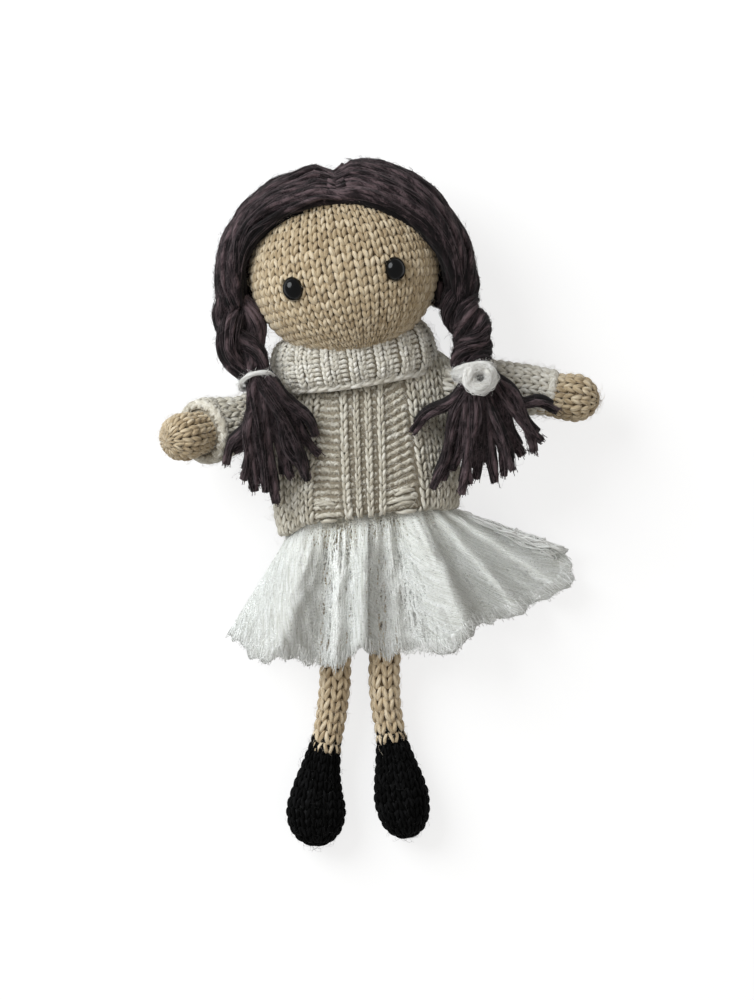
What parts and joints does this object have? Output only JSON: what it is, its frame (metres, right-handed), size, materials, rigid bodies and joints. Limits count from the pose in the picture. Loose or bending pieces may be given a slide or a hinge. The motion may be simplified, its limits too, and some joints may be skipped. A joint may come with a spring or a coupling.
{
  "type": "bendy doll",
  "caption": "Knitted doll with a bendable wire frame: stuffed head with bead eyes and yarn plaits, roll-neck jumper, gauze skirt, jointed arms and legs, lying on its back.",
  "frame": {"origin": "middle of the doll's outline seen from the front, on the surface that it lies on", "axes": "+Y towards the head, +X towards the doll's left hand, +Z out of its front"},
  "size_m": [0.1533, 0.2413, 0.0525],
  "materials": {
    "tan_knit": "stocking-stitch knitting",
    "jumper_knit": "cream knitting",
    "body_cloth": "plain knitting",
    "filling": "loose fibre",
    "hair_yarn": "thick soft yarn",
    "shoe_knit": "ribbed knitting",
    "bead": "polished",
    "dark_thread": "spun thread",
    "white_yarn": "soft yarn",
    "gauze": "crinkled open weave, raw edge",
    "wire": "galvanised"
  },
  "bodies": {
    "torso": {"jumper_body": "jumper_knit", "body_knit": "body_cloth", "body_stuffing": "filling", "skirt_gather_thread": "white_yarn", "skirt": "gauze", "roll_collar": "jumper_knit", "shoulder_wire": "wire", "hip_wire": "wire", "spine_wire": "wire"},
    "neck_bend": {"neck_wire_bend": "wire"},
    "neck_rod": {"neck_wire": "wire"},
    "head": {"head_knit": "tan_knit", "head_stuffing": "filling", "eye_thread": "dark_thread", "hair_parting_stitch": "hair_yarn", "left_eye": "bead", "right_eye": "bead", "left_hair": "hair_yarn", "right_hair": "hair_yarn"},
    "left_plait_top": {"left_plait_root": "hair_yarn"},
    "left_plait_length": {"left_plait": "hair_yarn", "left_plait_tie": "white_yarn", "left_tassel": "hair_yarn"},
    "left_shoulder_bend": {"left_shoulder_wire_bend": "wire"},
    "left_arm": {"left_upper_arm": "tan_knit", "left_upper_arm_wire": "wire", "left_sleeve": "jumper_knit"},
    "left_hand": {"left_forearm": "tan_knit", "left_forearm_wire": "wire"},
    "left_hip_bend": {"left_hip_wire_bend": "wire"},
    "left_leg": {"left_thigh": "tan_knit", "left_thigh_wire": "wire"},
    "left_lower_leg": {"left_shin": "tan_knit", "left_shin_wire": "wire"},
    "left_foot": {"left_shoe": "shoe_knit", "left_foot_wire": "wire"},
    "right_plait_top": {"right_plait_root": "hair_yarn"},
    "right_plait_length": {"right_plait": "hair_yarn", "right_plait_tie": "white_yarn", "right_tassel": "hair_yarn"},
    "right_shoulder_bend": {"right_shoulder_wire_bend": "wire"},
    "right_arm": {"right_upper_arm": "tan_knit", "right_upper_arm_wire": "wire", "right_sleeve": "jumper_knit"},
    "right_hand": {"right_forearm": "tan_knit", "right_forearm_wire": "wire"},
    "right_hip_bend": {"right_hip_wire_bend": "wire"},
    "right_leg": {"right_thigh": "tan_knit", "right_thigh_wire": "wire"},
    "right_lower_leg": {"right_shin": "tan_knit", "right_shin_wire": "wire"},
    "right_foot": {"right_shoe": "shoe_knit", "right_foot_wire": "wire"}
  },
  "joints": [
    {"name": "neck_tilt", "type": "hinge", "parent": "torso", "child": "neck_bend", "pos_m": [-0.0074, 0.0569, 0.02], "axis": [0, 0, 1], "range_deg": [-15, 15], "deforming": ["roll_collar"]},
    {"name": "neck_nod", "type": "hinge", "parent": "neck_bend", "child": "neck_rod", "pos_m": [-0.0074, 0.0569, 0.02], "axis": [0.9816, 0.1908, 0], "range_deg": [-20, 15], "deforming": ["roll_collar"]},
    {"name": "neck_turn", "type": "hinge", "parent": "neck_rod", "child": "head", "pos_m": [-0.0074, 0.0569, 0.02], "axis": [-0.1908, 0.9816, 0], "range_deg": [-15, 15], "deforming": ["roll_collar"]},
    {"name": "left_plait_swing", "type": "hinge", "parent": "head", "child": "left_plait_top", "pos_m": [0.02803, 0.06895, 0.03], "axis": [0, 0, 1], "range_deg": [0, 60], "deforming": ["left_plait", "left_tassel", "left_plait_tie"]},
    {"name": "left_plait_lift", "type": "hinge", "parent": "left_plait_top", "child": "left_plait_length", "pos_m": [0.02803, 0.06895, 0.03], "axis": [-1, 0, 0], "range_deg": [0, 90], "deforming": ["left_plait", "left_tassel", "left_plait_tie"]},
    {"name": "left_shoulder_swing", "type": "hinge", "parent": "torso", "child": "left_shoulder_bend", "pos_m": [0.0286, 0.041, 0.0168], "axis": [0, 0, 1], "range_deg": [-50, 55], "deforming": ["left_sleeve"]},
    {"name": "left_shoulder_lift", "type": "hinge", "parent": "left_shoulder_bend", "child": "left_arm", "pos_m": [0.0286, 0.041, 0.0168], "axis": [-0.1149, -0.9934, 0], "range_deg": [-40, 90], "deforming": ["left_sleeve"]},
    {"name": "left_elbow_bend", "type": "hinge", "parent": "left_arm", "child": "left_hand", "pos_m": [0.05165, 0.03833, 0.0168], "axis": [-0.1149, -0.9934, 0], "range_deg": [-88, 88], "deforming": ["left_sleeve"]},
    {"name": "left_hip_flex", "type": "hinge", "parent": "torso", "child": "left_hip_bend", "pos_m": [0.002, -0.02029, 0.013], "axis": [-1, 0, 0], "range_deg": [-25, 100], "deforming": ["skirt"]},
    {"name": "left_hip_splay", "type": "hinge", "parent": "left_hip_bend", "child": "left_leg", "pos_m": [0.002, -0.02029, 0.013], "axis": [0, 0, 1], "range_deg": [-2, 45], "deforming": ["skirt"]},
    {"name": "left_knee_bend", "type": "hinge", "parent": "left_leg", "child": "left_lower_leg", "pos_m": [0.0023, -0.052, 0.0108], "axis": [1, 0, 0], "range_deg": [-60, 90]},
    {"name": "left_ankle_bend", "type": "hinge", "parent": "left_lower_leg", "child": "left_foot", "pos_m": [0.0042, -0.0815, 0.008], "axis": [-1, 0, 0], "range_deg": [-20, 75]},
    {"name": "right_plait_swing", "type": "hinge", "parent": "head", "child": "right_plait_top", "pos_m": [-0.05047, 0.06995, 0.0305], "axis": [0, 0, -1], "range_deg": [0, 60], "deforming": ["right_plait", "right_tassel", "right_plait_tie"]},
    {"name": "right_plait_lift", "type": "hinge", "parent": "right_plait_top", "child": "right_plait_length", "pos_m": [-0.05047, 0.06995, 0.0305], "axis": [-1, 0, 0], "range_deg": [0, 90], "deforming": ["right_plait", "right_tassel", "right_plait_tie"]},
    {"name": "right_shoulder_swing", "type": "hinge", "parent": "torso", "child": "right_shoulder_bend", "pos_m": [-0.0376, 0.0299, 0.0168], "axis": [0, 0, -1], "range_deg": [-33, 55], "deforming": ["right_sleeve"]},
    {"name": "right_shoulder_lift", "type": "hinge", "parent": "right_shoulder_bend", "child": "right_arm", "pos_m": [-0.0376, 0.0299, 0.0168], "axis": [-0.225, 0.9744, 0], "range_deg": [-46, 70], "deforming": ["right_sleeve"]},
    {"name": "right_elbow_bend", "type": "hinge", "parent": "right_arm", "child": "right_hand", "pos_m": [-0.05819, 0.02515, 0.02129], "axis": [-0.225, 0.9744, 0], "range_deg": [-110, 60], "deforming": ["right_sleeve"]},
    {"name": "right_hip_flex", "type": "hinge", "parent": "torso", "child": "right_hip_bend", "pos_m": [-0.0143, -0.02287, 0.013], "axis": [-1, 0, 0], "range_deg": [-25, 100], "deforming": ["skirt"]},
    {"name": "right_hip_splay", "type": "hinge", "parent": "right_hip_bend", "child": "right_leg", "pos_m": [-0.0143, -0.02287, 0.013], "axis": [0, 0, -1], "range_deg": [-2, 45], "deforming": ["skirt"]},
    {"name": "right_knee_bend", "type": "hinge", "parent": "right_leg", "child": "right_lower_leg", "pos_m": [-0.0152, -0.052, 0.0108], "axis": [1, 0, 0], "range_deg": [-60, 90]},
    {"name": "right_ankle_bend", "type": "hinge", "parent": "right_lower_leg", "child": "right_foot", "pos_m": [-0.0183, -0.085, 0.008], "axis": [-1, 0, 0], "range_deg": [-20, 75]}
  ]
}
